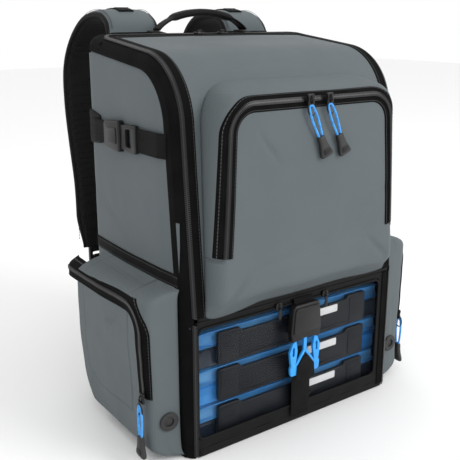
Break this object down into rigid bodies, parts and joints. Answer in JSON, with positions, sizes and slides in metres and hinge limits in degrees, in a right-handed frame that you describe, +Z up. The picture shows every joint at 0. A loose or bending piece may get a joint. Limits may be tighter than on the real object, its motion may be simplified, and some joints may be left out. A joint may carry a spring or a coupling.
{
  "type": "tackle backpack",
  "caption": "Box-shaped fishing backpack with a clamshell flap, front and side zip pockets and a clear drop-down door over stacked tackle trays.",
  "frame": {"origin": "middle of the footprint on the ground", "axes": "+Z up, the front with the tray window faces -Y, +X to the right of someone facing the front"},
  "size_m": [0.3978, 0.3672, 0.4656],
  "materials": {
    "grey_fabric": "smooth coated polyester, matt",
    "black_fabric": "black nylon webbing and binding",
    "mesh_pad": "black spacer mesh over foam",
    "zip_tape": "black zip tape with a plastic coil",
    "slider_black": "black enamelled zip slider",
    "buckle_black": "moulded acetal",
    "buckle_blue": "moulded acetal, bright blue",
    "cord_blue": "braided cord, bright blue",
    "grip_black": "moulded rubber grip",
    "clear_window": "clear flexible vinyl",
    "tray_smoke": "translucent smoke polypropylene",
    "tray_blue": "translucent blue polypropylene",
    "latch_black": "black moulded latch bar",
    "label_white": "blank white sticker",
    "lining": "dark lining cloth"
  },
  "bodies": {
    "pack": {"back_panel": "grey_fabric", "top_yoke": "grey_fabric", "base_panel": "black_fabric", "tray_shelf": "lining", "zip_tape_fixed": "zip_tape", "back_pads": "mesh_pad", "strap_anchors": "black_fabric", "compression_webbing": "black_fabric", "compression_males": "buckle_black", "pocket_grommets": "grip_black", "tray_labels": "label_white", "tray_base_1": "tray_smoke", "tray_lid_1": "tray_blue", "tray_latch_1": "latch_black", "tray_base_2": "tray_smoke", "tray_lid_2": "tray_blue", "tray_latch_2": "latch_black", "tray_base_3": "tray_smoke", "tray_lid_3": "tray_blue", "tray_latch_3": "latch_black", "side_panel_left": "grey_fabric", "side_pocket_left": "grey_fabric", "strap_webbing_left": "black_fabric", "side_panel_right": "grey_fabric", "side_pocket_right": "grey_fabric", "strap_webbing_right": "black_fabric"},
    "main_flap": {"main_flap_shell": "grey_fabric", "main_flap_zip_tape": "zip_tape", "front_pocket_gusset": "grey_fabric", "pocket_zip_outer": "zip_tape"},
    "pocket_panel": {"front_pocket_panel": "grey_fabric", "pocket_zip_inner": "zip_tape"},
    "tray_door": {"window_frame": "black_fabric", "window_pane": "clear_window", "window_strap": "black_fabric", "window_buckle_female": "buckle_black"},
    "window_buckle": {"window_buckle_male": "buckle_blue"},
    "handle": {"carry_handle": "black_fabric"},
    "pocket_slider_left": {"pocket_slider_left": "slider_black"},
    "pocket_pull_left": {"pocket_pull_left": "grip_black", "pocket_cord_left": "cord_blue"},
    "door_slider_left": {"door_slider_left": "slider_black"},
    "side_pocket_flap_left": {"side_pocket_flap_left": "grey_fabric"},
    "side_slider_left": {"side_slider_left": "slider_black"},
    "side_pull_left": {"side_pull_left": "grip_black", "side_cord_left": "cord_blue"},
    "shoulder_strap_left": {"shoulder_strap_left": "mesh_pad"},
    "compression_buckle_left": {"compression_female_left": "buckle_black"},
    "lid_slider_left": {"lid_slider_left": "slider_black"},
    "pocket_slider_right": {"pocket_slider_right": "slider_black"},
    "pocket_pull_right": {"pocket_pull_right": "grip_black", "pocket_cord_right": "cord_blue"},
    "door_slider_right": {"door_slider_right": "slider_black"},
    "side_pocket_flap_right": {"side_pocket_flap_right": "grey_fabric"},
    "side_slider_right": {"side_slider_right": "slider_black"},
    "side_pull_right": {"side_pull_right": "grip_black", "side_cord_right": "cord_blue"},
    "shoulder_strap_right": {"shoulder_strap_right": "mesh_pad"},
    "compression_buckle_right": {"compression_female_right": "buckle_black"},
    "lid_slider_right": {"lid_slider_right": "slider_black"}
  },
  "joints": [
    {"name": "main_flap_open", "type": "hinge", "parent": "pack", "child": "main_flap", "pos_m": [0, -0.159, 0.1583], "axis": [1, 0, 0], "range_deg": [0, 75]},
    {"name": "front_pocket_open", "type": "hinge", "parent": "main_flap", "child": "pocket_panel", "pos_m": [0, -0.17721, 0.223], "axis": [1, 0, 0], "range_deg": [0, 40]},
    {"name": "tray_door_open", "type": "hinge", "parent": "pack", "child": "tray_door", "pos_m": [0, -0.159, 0.0047], "axis": [1, 0, 0], "range_deg": [0, 80]},
    {"name": "window_buckle_release", "type": "slide", "parent": "tray_door", "child": "window_buckle", "axis": [0, 0, -1], "range_m": [0, 0.042]},
    {"name": "handle_tilt", "type": "hinge", "parent": "pack", "child": "handle", "pos_m": [0, 0.0415, 0.4406], "axis": [1, 0, 0], "range_deg": [-10, 25], "stiffness_Nm_per_rad": 0.05},
    {"name": "pocket_zip_left", "type": "slide", "parent": "pocket_panel", "child": "pocket_slider_left", "axis": [1, 0, 0], "range_m": [-0.055, 0]},
    {"name": "pocket_pull_swing_left", "type": "hinge", "parent": "pocket_slider_left", "child": "pocket_pull_left", "pos_m": [-0.013, -0.17976, 0.371], "axis": [-1, 0, 0], "range_deg": [0, 80]},
    {"name": "door_zip_left", "type": "slide", "parent": "tray_door", "child": "door_slider_left", "axis": [1, 0, 0], "range_m": [-0.08, 0]},
    {"name": "lid_zip_left", "type": "slide", "parent": "main_flap", "child": "lid_slider_left", "axis": [1, 0, 0], "range_m": [-0.08, 0]},
    {"name": "side_pocket_open_left", "type": "hinge", "parent": "pack", "child": "side_pocket_flap_left", "pos_m": [-0.18976, -0.128, 0.078], "axis": [0.0106, -0.8476, -0.5305], "range_deg": [0, 45]},
    {"name": "side_zip_left", "type": "slide", "parent": "pack", "child": "side_slider_left", "axis": [-0.02, 0, 0.9998], "range_m": [0, 0.07]},
    {"name": "side_pull_swing_left", "type": "hinge", "parent": "side_slider_left", "child": "side_pull_left", "pos_m": [-0.19566, -0.133, 0.072], "axis": [0, 1, 0], "range_deg": [0, 80]},
    {"name": "shoulder_strap_lift_left", "type": "hinge", "parent": "pack", "child": "shoulder_strap_left", "pos_m": [-0.083, 0.059, 0.436], "axis": [1, 0, 0], "range_deg": [0, 12]},
    {"name": "compression_release_left", "type": "slide", "parent": "pack", "child": "compression_buckle_left", "axis": [0, 1, 0], "range_m": [0, 0.022]},
    {"name": "pocket_zip_right", "type": "slide", "parent": "pocket_panel", "child": "pocket_slider_right", "axis": [1, 0, 0], "range_m": [0, 0.055]},
    {"name": "pocket_pull_swing_right", "type": "hinge", "parent": "pocket_slider_right", "child": "pocket_pull_right", "pos_m": [0.013, -0.17976, 0.371], "axis": [-1, 0, 0], "range_deg": [0, 80]},
    {"name": "door_zip_right", "type": "slide", "parent": "tray_door", "child": "door_slider_right", "axis": [1, 0, 0], "range_m": [0, 0.08]},
    {"name": "lid_zip_right", "type": "slide", "parent": "main_flap", "child": "lid_slider_right", "axis": [1, 0, 0], "range_m": [0, 0.08]},
    {"name": "side_pocket_open_right", "type": "hinge", "parent": "pack", "child": "side_pocket_flap_right", "pos_m": [0.18976, -0.128, 0.078], "axis": [0.0106, 0.8476, 0.5305], "range_deg": [0, 45]},
    {"name": "side_zip_right", "type": "slide", "parent": "pack", "child": "side_slider_right", "axis": [0.02, 0, 0.9998], "range_m": [0, 0.07]},
    {"name": "side_pull_swing_right", "type": "hinge", "parent": "side_slider_right", "child": "side_pull_right", "pos_m": [0.19566, -0.133, 0.072], "axis": [0, -1, 0], "range_deg": [0, 80]},
    {"name": "shoulder_strap_lift_right", "type": "hinge", "parent": "pack", "child": "shoulder_strap_right", "pos_m": [0.083, 0.059, 0.436], "axis": [1, 0, 0], "range_deg": [0, 12]},
    {"name": "compression_release_right", "type": "slide", "parent": "pack", "child": "compression_buckle_right", "axis": [0, 1, 0], "range_m": [0, 0.022]}
  ]
}
